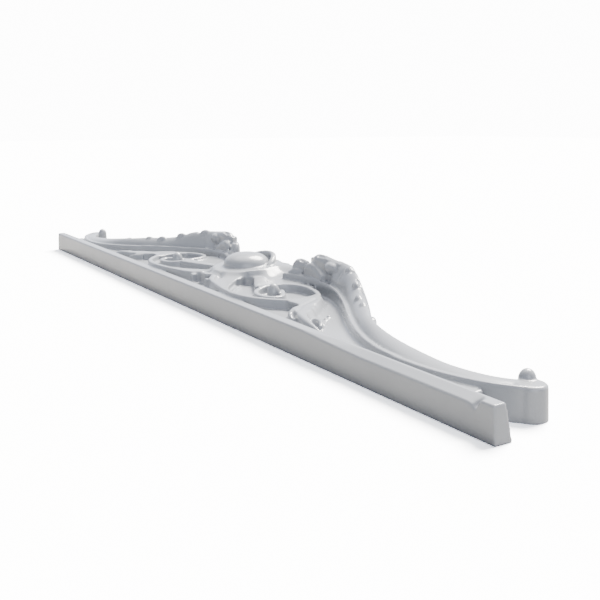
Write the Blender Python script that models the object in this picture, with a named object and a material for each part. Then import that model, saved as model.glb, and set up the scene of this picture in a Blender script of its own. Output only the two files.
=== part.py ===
"""Cast scroll onlay: a swan-neck pediment ornament with a flat back, lying face up.

Units are millimetres in the design values below and metres in the finished object.
X runs along the base strip, Y runs up the ornament and Z comes out of its carved face.
The design values count Y from the foot of the strip's front face.
The finished origin is on the flat back, at the middle of the part's width and depth.
Most forms are made for the right half only and mirrored at X = 0.
"""
import math

import bmesh
import bpy
from mathutils import Vector

MM = 0.001
MERGE_DISTANCE = 0.00001

# Edges sharper than this, in degrees, stay sharp in the smooth shading
SHARP_ANGLE = 35.0

# Overall sizes
STRIP_LENGTH = 410.0
STRIP_DEPTH = 6.7
STRIP_HEIGHT = 11.3
PART_DEPTH = 53.5
FIELD_HEIGHT = 9.0
BELOW_BACK = 2.0
# Foot heights of the forms that stand in the field, low ones and high ones
LOW_FOOT = 3.0
HIGH_FOOT = 5.0

# Strip details
STRIP_FRONT_DRAFT = 0.25
STRIP_BACK_DRAFT = 1.7
STRIP_END_DRAFT = 1.4
STRIP_EDGE_ROUND = 0.5
# The strip's top front edge: x, how far it drops and how far back the slope starts
STRIP_SECTIONS = (
    (-205.0, 0.0, 2.5), (108.0, 0.0, 2.5), (143.0, 1.5, 3.9), (194.6, 1.5, 3.9),
    (196.6, 3.4, 3.9), (198.4, 0.2, 2.5), (205.0, 0.0, 2.5),
)

# Neck: the long S-shaped band. Each row is the inner rim (x, y, height)
# and the outer edge (x, y, height), from the lower volute up to the head.
NECK_ROWS = (
    ((197.6, 21.6, 10.9), (190.9, 27.4, 10.9)),
    ((193.0, 17.6, 10.9), (188.6, 23.6, 10.9)),
    ((184.0, 12.4, 11.0), (181.5, 19.7, 11.0)),
    ((170.0, 8.6, 11.0), (169.2, 16.4, 11.6)),
    ((154.0, 7.4, 11.2), (154.6, 16.0, 12.7)),
    ((138.0, 9.0, 11.7), (139.7, 17.0, 14.1)),
    ((122.0, 14.2, 12.4), (124.8, 20.6, 15.8)),
    ((105.0, 22.6, 13.2), (109.2, 30.0, 17.5)),
    ((90.0, 31.2, 13.9), (94.4, 38.9, 18.9)),
    ((76.0, 38.5, 14.4), (79.8, 46.0, 22.9)),
    ((66.0, 42.4, 14.8), (68.8, 51.0, 24.2)),
    ((60.0, 44.2, 15.0), (61.8, 52.4, 24.9)),
)
NECK_STEPS = 36
RIM_WIDTH = 1.3
RIM_GROOVE = 0.5
RIM_GROOVE_WIDTH = 0.6
RIM_LIP = 0.35
NECK_EDGE_ROUND = 0.9
NECK_WALL_DRAFT = 0.9
# How steeply the band rises from its rim, at the volute and how much more at the head
NECK_RISE = 2.2
NECK_RISE_AT_HEAD = 5.0
NECK_RISE_ONSET = 5
NECK_CROWN = 0.8
# Shares of the band's width where its height is worked out
NECK_SHARES = (0.0, 0.12, 0.3, 0.55, 0.8)
VOLUTE_CENTRE = (194.4, 24.6)
VOLUTE_RADIUS = 4.9
VOLUTE_TOP = 10.9
VOLUTE_ROUND = 0.9
VOLUTE_ROUND_MIDDLE = 0.25
VOLUTE_DRAFT = 0.7
VOLUTE_BEAD = (190.6, 27.0)
VOLUTE_BEAD_HALF = (2.7, 2.7, 3.4)
VOLUTE_BEAD_MIDDLE = 10.5
VOLUTE_BEAD_FOOT = (2.6, 3.2)

# Tongue under the head: the inner end of the neck's rim, hollow between two raised edges
TONGUE_ROWS = (
    ((62.0, 43.6, 15.0), (62.0, 50.4, 16.4)),
    ((53.0, 44.8, 15.0), (53.0, 49.6, 16.4)),
    ((44.0, 44.8, 15.2), (43.0, 47.8, 16.2)),
    ((35.0, 43.1, 15.4), (33.8, 45.6, 15.9)),
    ((26.6, 40.9, 15.5), (26.0, 42.0, 15.5)),
)
TONGUE_STEPS = 10
TONGUE_HOLLOW = 1.1
TONGUE_LIP = 0.3
TONGUE_EDGE = 0.6
TONGUE_DRAFT = 0.9

# Head at the top of the neck: a tall wall and curled leaf lobes.
# Each lobe row is x, y, top height and half width.
HEAD_WALL = ((37.0, 49.6), (50.0, 49.4), (62.0, 48.8), (63.0, 52.8), (38.4, 53.4))
HEAD_WALL_TOP = 24.0
HEAD_WALL_DRAFT = 0.9
HEAD_FOOT = 6.0
HEAD_LOBES = (
    ((39.0, 50.5, 23.4, 1.3), (42.4, 50.4, 25.8, 2.3), (47.0, 50.4, 26.2, 2.8),
     (52.4, 50.6, 25.6, 2.5), (60.0, 50.8, 24.8, 2.0), (66.0, 50.8, 24.2, 1.2)),
    ((36.6, 47.4, 19.6, 1.4), (38.4, 47.8, 21.4, 2.2), (41.4, 48.2, 22.3, 2.5),
     (45.4, 48.4, 21.6, 2.5), (49.0, 47.9, 20.0, 2.3), (52.0, 46.9, 18.0, 1.5)),
    ((35.4, 49.8, 21.8, 1.8), (32.2, 48.4, 22.6, 2.3), (29.4, 47.2, 22.0, 2.1),
     (27.8, 46.4, 20.0, 1.3)),
    ((35.0, 47.4, 17.2, 1.6), (32.4, 46.8, 18.5, 2.4), (29.6, 45.7, 18.4, 2.6),
     (27.6, 44.3, 17.0, 1.9), (26.8, 43.3, 15.8, 0.9)),
)
HEAD_BULGE = 2.6
# Egg-shaped curl that hangs over the recess at the neck's end: middle and half sizes
HANGING_CURL = (56.2, 48.6, 21.4)
HANGING_CURL_HALF = (4.4, 2.5, 2.7)

# Dome on its seat and cove, at the middle of the part
DOME_Y = 36.2
DOME_RADIUS = 11.3
DOME_BASE = 16.4
DOME_RISE = 5.9
DOME_STEPS = 8
SEAT_TILT = 0.08
SEAT_RADIUS = 16.6
COVE_UNDER_DOME = 0.4
# Shares of the way from the dome to the cove's reach where its height is worked out
COVE_SHARES = (0.0, 0.55, 0.68, 0.82, 1.0)
# The cove's reach and outer height by direction, in degrees from the +X side
COVE_REACH = (
    (-90.0, 21.0, 12.6), (-60.0, 22.0, 12.6), (-42.0, 21.4, 12.7), (-30.0, 17.2, 13.2),
    (-14.0, 19.2, 12.8), (8.0, 25.6, 12.6), (22.0, 26.4, 13.6), (36.0, 25.4, 16.4),
    (48.0, 21.9, 17.1), (66.0, 17.9, 17.3), (90.0, 16.6, 17.3),
)
COVE_FACETS = 48
HOOD_INNER_RADIUS = 12.1
HOOD_OUTER_RADIUS = 14.6
HOOD_TOP = 21.9
HOOD_HALF_ANGLE = 72.0
HOOD_STATIONS = 9
HOOD_FOOT = 8.0

# Field outline on the right half, from the strip up to the back edge
FIELD_OUTLINE = (
    (188.0, 2.0), (188.0, 12.0), (160.0, 12.0), (138.0, 13.0),
    (108.0, 25.0), (84.0, 40.0), (62.0, 49.0), (30.0, 51.0), (12.0, 53.4),
)

# C-scroll: one spiral wall with its top height, from the middle knot round the ring to the eye
SPIRAL = (
    (5.6, 16.4, 13.6), (9.0, 12.4, 13.6), (15.0, 10.2, 13.5), (24.5, 8.2, 13.4),
    (35.5, 6.4, 13.3), (46.5, 5.8, 13.3), (56.5, 8.2, 13.3), (64.5, 13.4, 13.3),
    (70.2, 20.2, 13.3), (71.8, 27.4, 13.3), (68.4, 33.6, 13.4), (61.4, 36.8, 13.7),
    (53.6, 37.4, 14.1), (47.0, 35.4, 14.3), (43.2, 31.0, 14.3), (42.0, 25.4, 14.2),
    (42.8, 19.8, 13.6), (46.0, 15.9, 13.1), (51.0, 14.3, 12.9), (56.2, 14.6, 12.9),
    (59.4, 17.4, 12.9), (58.8, 21.4, 12.9), (54.6, 24.6, 12.9), (48.4, 27.4, 12.9),
)
SPIRAL_STEPS = 60
SPIRAL_WALL = 1.1
SPIRAL_DRAFT = 1.0
DISH_FLOOR = 10.4
# Share of the spiral that bounds the dish
DISH_SHARE = 0.64
EYE = (51.4, 21.6, 12.1)
EYE_HALF = (2.9, 2.9, 4.6)
# Flat shelf inside the near wall, and the ribbon from the cove to the ring
SHELF = (
    (5.0, 17.0), (9.0, 13.2), (15.0, 10.6), (24.5, 8.6), (35.2, 7.0), (35.2, 8.1),
    (29.4, 11.0), (24.5, 14.5), (20.0, 18.2), (16.1, 21.8), (8.0, 24.0),
)
SHELF_TOP = 12.6
RIBBON = (
    (17.0, 34.2, 13.3, 2.8), (26.0, 29.4, 13.6, 3.1), (35.0, 24.8, 13.9, 3.4),
    (42.0, 21.6, 14.1, 3.4),
)
RIBBON_BULGE = 0.5

# Knot where the two C-scrolls meet, by the strip
KNOT = ((-2.8, 12.0), (2.8, 12.0), (4.2, 15.4), (-4.2, 15.4))
KNOT_TOP = 14.3
POST = ((6.4, 9.4), (9.6, 9.8), (9.4, 13.4), (6.2, 13.4))
POST_TOP = 12.8
SHOULDER = (
    (4.6, 16.6, 13.4, 1.0), (6.6, 15.0, 14.2, 1.9), (9.4, 12.8, 13.9, 1.7),
    (14.0, 10.6, 13.5, 1.1),
)
SHOULDER_BULGE = 1.6

# Fan between the C-scroll and the field: inner point and outer point with their heights,
# and the share of the way that stays level before the fall
FAN_ROWS = (
    ((66.0, 33.6, 13.2), (76.0, 34.4, 8.6), 0.45),
    ((68.0, 29.0, 13.2), (81.0, 30.2, 8.6), 0.62),
    ((68.0, 23.0, 13.1), (88.0, 26.0, 8.6), 0.62),
    ((67.0, 17.4, 12.9), (93.0, 21.8, 8.6), 0.68),
    ((77.4, 18.2, 12.8), (96.6, 18.0, 8.6), 0.52),
    ((81.4, 13.0, 12.8), (100.0, 14.0, 8.6), 0.5),
    ((87.4, 10.8, 12.6), (102.6, 11.4, 8.6), 0.5),
    ((94.0, 9.2, 12.4), (105.0, 9.8, 8.6), 0.5),
)
FAN_FOOT = 4.0
FAN_SHARES = (0.01, 0.35, 0.7, 1.0)
FAN_SAG = 0.9

# Leaves of the tuft by the strip: x, y, top height and half width
TUFT_LOBES = (
    ((81.0, 14.0, 12.6, 1.6), (83.6, 11.6, 12.4, 2.0), (87.0, 9.6, 11.8, 1.8),
     (89.6, 8.8, 10.6, 1.0)),
    ((86.6, 12.0, 12.3, 1.0), (90.6, 10.6, 12.6, 1.4), (95.0, 9.4, 12.6, 1.5),
     (100.2, 8.0, 12.3, 1.4), (105.6, 7.5, 11.2, 1.0), (109.6, 7.7, 9.8, 0.5)),
    ((95.6, 12.2, 10.6, 0.7), (97.6, 12.8, 11.8, 0.9), (100.2, 13.2, 11.9, 1.0),
     (103.0, 12.2, 11.6, 0.9), (105.2, 10.4, 10.8, 0.7)),
)
TUFT_FOOT = 4.0
TUFT_BULGE = 2.2
# Curls of the long leaf on the neck's outer side: x, y, radius, top height
CURLS = (
    (122.6, 21.4, 2.2, 16.3), (107.6, 28.4, 2.4, 18.2), (98.6, 32.8, 2.4, 19.0),
    (86.6, 40.4, 2.6, 21.8), (71.0, 48.2, 2.6, 24.8),
)
CURL_HALF_HEIGHT = 2.6
CURL_TURN = -32.0


def smooth_points(points, steps):
    """Return steps + 1 points on a Catmull-Rom curve through the given points."""
    vectors = [Vector(point) for point in points]
    padded = [vectors[0] * 2 - vectors[1]] + vectors + [vectors[-1] * 2 - vectors[-2]]
    spans = len(vectors) - 1
    result = []
    for step in range(steps + 1):
        place = step * spans / steps
        span = min(int(place), spans - 1)
        t = place - span
        a, b, c, d = padded[span:span + 4]
        result.append(0.5 * (2 * b + (c - a) * t + (2 * a - 5 * b + 4 * c - d) * t ** 2
                             + (3 * b - a - 3 * c + d) * t ** 3))
    return result


def side_of(path, index):
    """Return the plan direction to the left of a path at one of its points."""
    before = path[max(index - 1, 0)]
    after = path[min(index + 1, len(path) - 1)]
    return Vector((before[1] - after[1], after[0] - before[0], 0.0)).normalized()


def write_object(name, bm, collection):
    """Write a bmesh, in metres, as a new object whose faces point outwards."""
    bmesh.ops.recalc_face_normals(bm, faces=bm.faces)
    mesh = bpy.data.meshes.new(name)
    bm.to_mesh(mesh)
    made = bpy.data.objects.new(name, mesh)
    collection.objects.link(made)
    return made


def solid_from_bmesh(name, bm, collection, mirrored=True):
    """Write a bmesh, in millimetres, as a solid and, if asked, its mirror image."""
    bmesh.ops.remove_doubles(bm, verts=bm.verts, dist=MERGE_DISTANCE / MM)
    bmesh.ops.scale(bm, verts=bm.verts, vec=(MM, MM, MM))
    made = write_object(name, bm, collection)
    if mirrored:
        bmesh.ops.scale(bm, verts=bm.verts, vec=(-1.0, 1.0, 1.0))
        write_object(name + "_left", bm, collection)
    bm.free()
    return made


def loft(name, sections, collection, mirrored=True):
    """Join closed sections of equal length into one solid with flat ends."""
    bm = bmesh.new()
    rings = [[bm.verts.new(point) for point in section] for section in sections]
    count = len(rings[0])
    for near, far in zip(rings, rings[1:]):
        for i in range(count):
            j = (i + 1) % count
            bm.faces.new((near[i], near[j], far[j], far[i]))
    bm.faces.new(rings[0])
    bm.faces.new(list(reversed(rings[-1])))
    return solid_from_bmesh(name, bm, collection, mirrored)


def prism(name, outline, low, high, collection, inset=0.0, mirrored=True):
    """Extrude a plan outline from low to high, drawn in by inset at the top."""
    bm = bmesh.new()
    face = bm.faces.new([bm.verts.new((x, y, low)) for x, y in outline])
    made = bmesh.ops.extrude_face_region(bm, geom=[face])
    top = [item for item in made["geom"] if isinstance(item, bmesh.types.BMVert)]
    middle = sum((v.co for v in top), Vector()) / len(top)
    for vert in top:
        inward = (middle - vert.co).normalized()
        vert.co += inward * inset
        vert.co.z = high
    return solid_from_bmesh(name, bm, collection, mirrored)


def egg(name, centre, half_sizes, turn, collection, segments=14, rings=8):
    """Make a smooth egg-like lump, turned about Z by degrees."""
    bm = bmesh.new()
    bmesh.ops.create_uvsphere(bm, u_segments=segments, v_segments=rings, radius=1.0)
    bmesh.ops.scale(bm, verts=bm.verts, vec=half_sizes)
    angle = math.radians(turn)
    for vert in bm.verts:
        x, y, z = vert.co
        vert.co = Vector((x * math.cos(angle) - y * math.sin(angle),
                          x * math.sin(angle) + y * math.cos(angle), z))
    bmesh.ops.translate(bm, verts=bm.verts, vec=centre)
    return solid_from_bmesh(name, bm, collection)


def turned(name, centre, profile, collection, segments=38, mirrored=True):
    """Turn a profile of (radius, height) pairs about a vertical axis."""
    bm = bmesh.new()
    verts = [bm.verts.new((radius, 0.0, height)) for radius, height in profile]
    edges = [bm.edges.new(pair) for pair in zip(verts, verts[1:])]
    bmesh.ops.spin(bm, geom=verts + edges, cent=(0, 0, 0), axis=(0, 0, 1),
                   angle=math.tau, steps=segments, use_merge=True)
    bmesh.ops.translate(bm, verts=bm.verts, vec=(centre[0], centre[1], 0.0))
    return solid_from_bmesh(name, bm, collection, mirrored)


def lobe(name, rows, foot, bulge, collection, steps=6, facets=6):
    """Loft a curled leaf lobe: a rounded back that follows a line in plan."""
    line = smooth_points([row[:3] for row in rows], steps)
    widths = smooth_points([(row[3], 0.0) for row in rows], steps)
    sections = []
    for i, (point, width) in enumerate(zip(line, widths)):
        side = side_of(line, i)
        half = max(width[0], 0.3)
        drop = min(bulge, half * 1.2)
        section = [(-half - 0.3, foot)]
        for facet in range(facets + 1):
            across = -math.cos(math.pi * facet / facets)
            section.append((half * across, point[2] - drop * (1 - math.sqrt(1 - across ** 2))))
        section.append((half + 0.3, foot))
        base = Vector((point[0], point[1], 0.0))
        sections.append([base + side * d + Vector((0, 0, z)) for d, z in section])
    loft(name, sections, collection)


def strip(collection):
    """Make the base strip, with drafted faces, a rounded top and an eased, nicked edge."""
    back_top = STRIP_DEPTH - STRIP_BACK_DRAFT
    foot = -STRIP_FRONT_DRAFT * BELOW_BACK / STRIP_HEIGHT
    sections = []
    for x, drop, reach in STRIP_SECTIONS:
        at_end = abs(x) >= STRIP_LENGTH / 2
        lean = math.copysign(STRIP_END_DRAFT / STRIP_HEIGHT, x) if at_end else 0.0
        front_top = STRIP_HEIGHT - drop
        section = []
        for y, z in ((foot, -BELOW_BACK), (STRIP_DEPTH, -BELOW_BACK),
                     (back_top, STRIP_HEIGHT - STRIP_EDGE_ROUND),
                     (back_top - STRIP_EDGE_ROUND, STRIP_HEIGHT), (reach, STRIP_HEIGHT),
                     (STRIP_FRONT_DRAFT + STRIP_EDGE_ROUND, front_top),
                     (STRIP_FRONT_DRAFT, front_top - STRIP_EDGE_ROUND)):
            section.append((x - lean * z, y, z))
        sections.append(section)
    return loft("scroll_onlay", sections, collection, mirrored=False)


def neck_section(rim, edge, rise_power):
    """Return the closed section of the neck between its rim and its outer edge."""
    across = Vector((edge.x - rim.x, edge.y - rim.y, 0.0))
    width = across.length
    along = across.normalized()
    rise = edge.z - rim.z + RIM_GROOVE
    start = RIM_WIDTH + RIM_GROOVE_WIDTH
    crest = width - NECK_EDGE_ROUND

    def at(distance, height):
        return Vector((rim.x, rim.y, 0.0)) + along * distance + Vector((0, 0, height))

    points = [at(-NECK_WALL_DRAFT, -BELOW_BACK), at(0.0, rim.z - RIM_LIP), at(RIM_LIP, rim.z),
              at(RIM_WIDTH, rim.z)]
    for share in NECK_SHARES:
        lift = (1 - (1 - share) ** rise_power) ** NECK_CROWN
        points.append(at(start + (crest - start) * share, rim.z - RIM_GROOVE + rise * lift))
    points.append(at(crest, edge.z))
    points.append(at(width, edge.z - NECK_EDGE_ROUND))
    points.append(at(width + NECK_WALL_DRAFT, -BELOW_BACK))
    return points


def neck(collection):
    """Loft the S-shaped neck from the lower volute to the head."""
    rims = smooth_points([row[0] for row in NECK_ROWS], NECK_STEPS)
    edges = smooth_points([row[1] for row in NECK_ROWS], NECK_STEPS)
    sections = []
    for i, (rim, edge) in enumerate(zip(rims, edges)):
        power = NECK_RISE + NECK_RISE_AT_HEAD * (i / NECK_STEPS) ** NECK_RISE_ONSET
        sections.append(neck_section(rim, edge, power))
    loft("neck", sections, collection)


def tongue(collection):
    """Loft the hollow tongue that carries the head's lobes."""
    rims = smooth_points([row[0] for row in TONGUE_ROWS], TONGUE_STEPS)
    edges = smooth_points([row[1] for row in TONGUE_ROWS], TONGUE_STEPS)
    sections = []
    for rim, edge in zip(rims, edges):
        across = Vector((edge.x - rim.x, edge.y - rim.y, 0.0))
        dip = Vector((0, 0, min(TONGUE_HOLLOW, across.length * 0.25)))
        out = across.normalized()
        below = Vector((0, 0, TONGUE_EDGE))
        sections.append((
            Vector((rim.x, rim.y, -BELOW_BACK)) - out * TONGUE_DRAFT, rim - below,
            rim + out * TONGUE_LIP, rim.lerp(edge, 0.3) - dip, rim.lerp(edge, 0.7) - dip,
            edge - out * TONGUE_LIP, edge - below,
            Vector((edge.x, edge.y, -BELOW_BACK)) + out * TONGUE_DRAFT,
        ))
    loft("tongue", sections, collection)


def volute(collection):
    """Make the round lower end of the neck and the bead in its curl."""
    r = VOLUTE_RADIUS
    turned("volute", VOLUTE_CENTRE,
           ((0.0, VOLUTE_TOP), (r - VOLUTE_ROUND, VOLUTE_TOP),
            (r - VOLUTE_ROUND_MIDDLE, VOLUTE_TOP - VOLUTE_ROUND_MIDDLE),
            (r, VOLUTE_TOP - VOLUTE_ROUND), (r + VOLUTE_DRAFT, -BELOW_BACK),
            (0.0, -BELOW_BACK)), collection, segments=28)
    egg("volute_bead", (*VOLUTE_BEAD, VOLUTE_BEAD_MIDDLE), VOLUTE_BEAD_HALF, 0.0, collection)
    turned("volute_bead_foot", VOLUTE_BEAD,
           ((0.0, VOLUTE_BEAD_MIDDLE), (VOLUTE_BEAD_FOOT[0], VOLUTE_BEAD_MIDDLE),
            (VOLUTE_BEAD_FOOT[1], -BELOW_BACK),
            (0.0, -BELOW_BACK)), collection, segments=14)


def head(collection):
    """Make the head's tall wall and its curled leaf lobes."""
    prism("head_wall", HEAD_WALL, -BELOW_BACK, HEAD_WALL_TOP, collection,
          inset=HEAD_WALL_DRAFT)
    for i, rows in enumerate(HEAD_LOBES):
        lobe(f"head_lobe_{i}", rows, HEAD_FOOT, HEAD_BULGE, collection)
    egg("hanging_curl", HANGING_CURL, HANGING_CURL_HALF, 0.0, collection, segments=12, rings=6)


def cove_row(direction):
    """Return the cove's reach and outer height in a direction, given in degrees."""
    folded = math.degrees(math.asin(math.sin(math.radians(direction))))
    for (a, reach_a, top_a), (b, reach_b, top_b) in zip(COVE_REACH, COVE_REACH[1:]):
        if folded <= b + 0.001:
            share = (folded - a) / (b - a)
            return reach_a + (reach_b - reach_a) * share, top_a + (top_b - top_a) * share
    return COVE_REACH[-1][1:]


def cove(collection):
    """Make the tilted seat of the dome and the cove that falls away from it."""
    rings = []
    inner = DOME_RADIUS - COVE_UNDER_DOME
    for share in COVE_SHARES:
        ring = []
        for step in range(COVE_FACETS):
            angle = math.tau * step / COVE_FACETS
            reach, top = cove_row(math.degrees(angle))
            seat = min(SEAT_RADIUS, reach - 1.0)
            r = inner + (reach - inner) * share
            level = DOME_BASE + SEAT_TILT * r * math.sin(angle)
            fall = max(0.0, (r - seat) / (reach - seat))
            height = top + (level - top) * (1 - fall) ** 2 if fall else level
            ring.append((r * math.cos(angle), DOME_Y + r * math.sin(angle), height))
        rings.append(ring)
    rings.append([(x, y, HIGH_FOOT) for x, y, _ in rings[-1]])
    loft("cove", rings, collection, mirrored=False)


def dome(collection):
    """Make the dome and the hood that stands round its back."""
    arc = [(0.0, DOME_BASE + DOME_RISE)]
    for step in range(1, DOME_STEPS + 1):
        angle = math.radians(90.0 * (1 - step / DOME_STEPS))
        arc.append((DOME_RADIUS * math.cos(angle), DOME_BASE + DOME_RISE * math.sin(angle)))
    turned("dome", (0.0, DOME_Y), [*arc, (DOME_RADIUS, HIGH_FOOT), (0.0, HIGH_FOOT)], collection,
           mirrored=False)
    sections = []
    for step in range(2 * HOOD_STATIONS + 1):
        share = step / HOOD_STATIONS - 1
        angle = math.radians(90.0 + HOOD_HALF_ANGLE * share)
        lift = (1 - share * share) ** 0.6
        top = DOME_BASE - 1.0 + (HOOD_TOP - DOME_BASE + 1.0) * lift
        section = []
        for r, height in ((HOOD_INNER_RADIUS, HOOD_FOOT), (HOOD_INNER_RADIUS, top - 0.9),
                          (HOOD_INNER_RADIUS + 0.8, top), (HOOD_OUTER_RADIUS - 0.9, top - 0.2),
                          (HOOD_OUTER_RADIUS - 0.1, top - 1.2),
                          (HOOD_OUTER_RADIUS + 0.3, HOOD_FOOT)):
            section.append((r * math.cos(angle), DOME_Y + r * math.sin(angle), height))
        sections.append(section)
    loft("hood", sections, collection, mirrored=False)


def c_scroll(collection):
    """Make the spiral wall, the dish floor, the eye, the shelf and the ribbon."""
    path = smooth_points(SPIRAL, SPIRAL_STEPS)
    sections = []
    for i, point in enumerate(path):
        side = side_of(path, i)
        base = Vector((point.x, point.y, 0.0))
        section = []
        for distance, height in ((-SPIRAL_WALL - SPIRAL_DRAFT, LOW_FOOT),
                                 (-SPIRAL_WALL, point.z - 0.5), (-SPIRAL_WALL * 0.5, point.z),
                                 (SPIRAL_WALL * 0.5, point.z), (SPIRAL_WALL, point.z - 0.5),
                                 (SPIRAL_WALL + SPIRAL_DRAFT, LOW_FOOT)):
            section.append(base + side * distance + Vector((0, 0, height)))
        sections.append(section)
    loft("spiral", sections, collection)
    outer = [(p.x, p.y) for p in path[: int(len(path) * DISH_SHARE)]]
    prism("dish", outer, LOW_FOOT, DISH_FLOOR, collection)
    egg("eye", EYE, EYE_HALF, 0.0, collection)
    prism("shelf", SHELF, HIGH_FOOT, SHELF_TOP, collection)
    lobe("ribbon", RIBBON, HIGH_FOOT, RIBBON_BULGE, collection, steps=3, facets=5)


def knot(collection):
    """Make the knot's middle block, with a post and a shoulder on each side."""
    prism("knot", KNOT, HIGH_FOOT, KNOT_TOP, collection, inset=0.5, mirrored=False)
    prism("post", POST, HIGH_FOOT, POST_TOP, collection, inset=0.4)
    lobe("shoulder", SHOULDER, HIGH_FOOT, SHOULDER_BULGE, collection, steps=5, facets=5)


def fan(collection):
    """Make the sloping fan from the C-scroll's ring down to the field."""
    sections = []
    for near_row, far_row, hold in FAN_ROWS:
        near, far = Vector(near_row), Vector(far_row)
        section = [Vector((near.x, near.y, FAN_FOOT)), near]
        for way in FAN_SHARES:
            point = near.lerp(far, hold + (1 - hold) * way)
            point.z = near.z + (far.z - near.z) * way - FAN_SAG * math.sin(math.pi * way)
            section.append(point)
        section.append(Vector((far.x, far.y, FAN_FOOT)))
        sections.append(section)
    loft("fan", sections, collection)


def leaves(collection):
    """Make the leaf tuft by the strip and the curls on the neck's outer side."""
    for i, rows in enumerate(TUFT_LOBES):
        lobe(f"tuft_lobe_{i}", rows, TUFT_FOOT, TUFT_BULGE, collection)
    for i, (x, y, radius, top) in enumerate(CURLS):
        egg(f"curl_{i}", (x, y, top - CURL_HALF_HEIGHT),
            (radius * 1.5, radius * 0.7, CURL_HALF_HEIGHT), CURL_TURN, collection,
            segments=10, rings=6)


def back_cutter(collection):
    """Make the block that cuts the back off flat at Z = 0."""
    bm = bmesh.new()
    bmesh.ops.create_cube(bm, size=1.0)
    bmesh.ops.scale(bm, verts=bm.verts, vec=(STRIP_LENGTH * 1.2, PART_DEPTH * 2.0, 10.0))
    bmesh.ops.translate(bm, verts=bm.verts, vec=(0.0, PART_DEPTH / 2, -5.0))
    solid_from_bmesh("back_cut", bm, collection, mirrored=False)


def onlay_material():
    """Pale grey satin casting polymer."""
    material = bpy.data.materials.new("cast_polymer")
    material.use_nodes = True
    shader = material.node_tree.nodes["Principled BSDF"]
    shader.inputs["Base Color"].default_value = (0.37, 0.38, 0.40, 1.0)
    shader.inputs["Roughness"].default_value = 0.35
    shader.inputs["Metallic"].default_value = 0.0
    return material


def boolean(target, operation, collection):
    """Add one exact Boolean with every solid of a collection to the target."""
    modifier = target.modifiers.new(operation.lower(), "BOOLEAN")
    modifier.operation = operation
    modifier.solver = "EXACT"
    modifier.operand_type = "COLLECTION"
    modifier.collection = collection


def make_collection(name, hidden):
    """Make a collection for kept solids or for hidden operands."""
    made = bpy.data.collections.new(name)
    bpy.context.scene.collection.children.link(made)
    made.hide_render = hidden
    return made


def main():
    """Build the onlay from its forms."""
    for old in list(bpy.data.objects):
        bpy.data.objects.remove(old, do_unlink=True)
    kept = make_collection("scroll_onlay_part", False)
    forms = make_collection("forms", True)
    cuts = make_collection("cuts", True)

    onlay = strip(kept)
    left_side = [(-x, y) for x, y in reversed(FIELD_OUTLINE)]
    prism("field", list(FIELD_OUTLINE) + left_side, -BELOW_BACK, FIELD_HEIGHT, forms,
          mirrored=False)
    neck(forms)
    tongue(forms)
    volute(forms)
    head(forms)
    cove(forms)
    dome(forms)
    c_scroll(forms)
    knot(forms)
    fan(forms)
    leaves(forms)
    back_cutter(cuts)

    boolean(onlay, "UNION", forms)
    boolean(onlay, "DIFFERENCE", cuts)
    onlay.data.materials.append(onlay_material())
    onlay.location = (0.0, -PART_DEPTH / 2 * MM, 0.0)

    for operand in list(forms.objects) + list(cuts.objects):
        operand.hide_render = True
        operand.display_type = "WIRE"
        operand.location = onlay.location
    onlay.data.shade_smooth()
    onlay.data.set_sharp_from_angle(angle=math.radians(SHARP_ANGLE))


main()
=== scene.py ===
"""Studio scene of a cast scroll onlay that lies on its flat back, seen from its lower right end.

Sizes in the classes below are millimetres, as on a maker's drawing, and the meshes are in metres.
X runs along the base strip and Z comes out of the carved face. The design counts Y from the foot
of the strip's front face, and Casting moves it into the frame, whose origin is on the back.
"""

import logging
import math
from dataclasses import dataclass, field
from enum import Enum
from typing import Iterable, Sequence

import bmesh
import bpy
import numpy as np
from mathutils import Matrix, Vector


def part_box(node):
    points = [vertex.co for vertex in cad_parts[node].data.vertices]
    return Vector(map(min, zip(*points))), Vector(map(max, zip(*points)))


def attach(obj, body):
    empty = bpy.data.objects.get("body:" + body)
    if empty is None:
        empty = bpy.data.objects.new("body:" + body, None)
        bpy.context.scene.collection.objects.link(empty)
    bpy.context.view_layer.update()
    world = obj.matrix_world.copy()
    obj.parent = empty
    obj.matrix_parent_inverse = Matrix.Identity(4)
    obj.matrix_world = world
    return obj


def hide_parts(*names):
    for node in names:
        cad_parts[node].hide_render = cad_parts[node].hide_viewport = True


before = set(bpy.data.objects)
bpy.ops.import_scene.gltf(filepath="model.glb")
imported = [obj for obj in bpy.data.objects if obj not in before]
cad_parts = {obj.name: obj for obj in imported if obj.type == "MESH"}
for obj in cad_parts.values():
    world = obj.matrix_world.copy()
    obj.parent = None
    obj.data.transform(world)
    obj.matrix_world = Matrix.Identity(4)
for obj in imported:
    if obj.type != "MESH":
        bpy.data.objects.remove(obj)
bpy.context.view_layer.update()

LOG = logging.getLogger("scroll_onlay")
MM = 0.001
NODE = "scroll_onlay"
BODY = "root"
# Edges bent by more degrees than this are shaded sharp
SHARP_ANGLE = 60.0
# Foot of the forms that reach through the flat back, where they are cut off
BELOW = -1.5

Plan = tuple[float, float]
Spot = tuple[float, float, float]
Row = tuple[float, float, float, float]


class Side(Enum):
    """The halves of the ornament. The value turns a right-hand X into the side's own."""

    RIGHT = 1.0
    LEFT = -1.0


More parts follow.
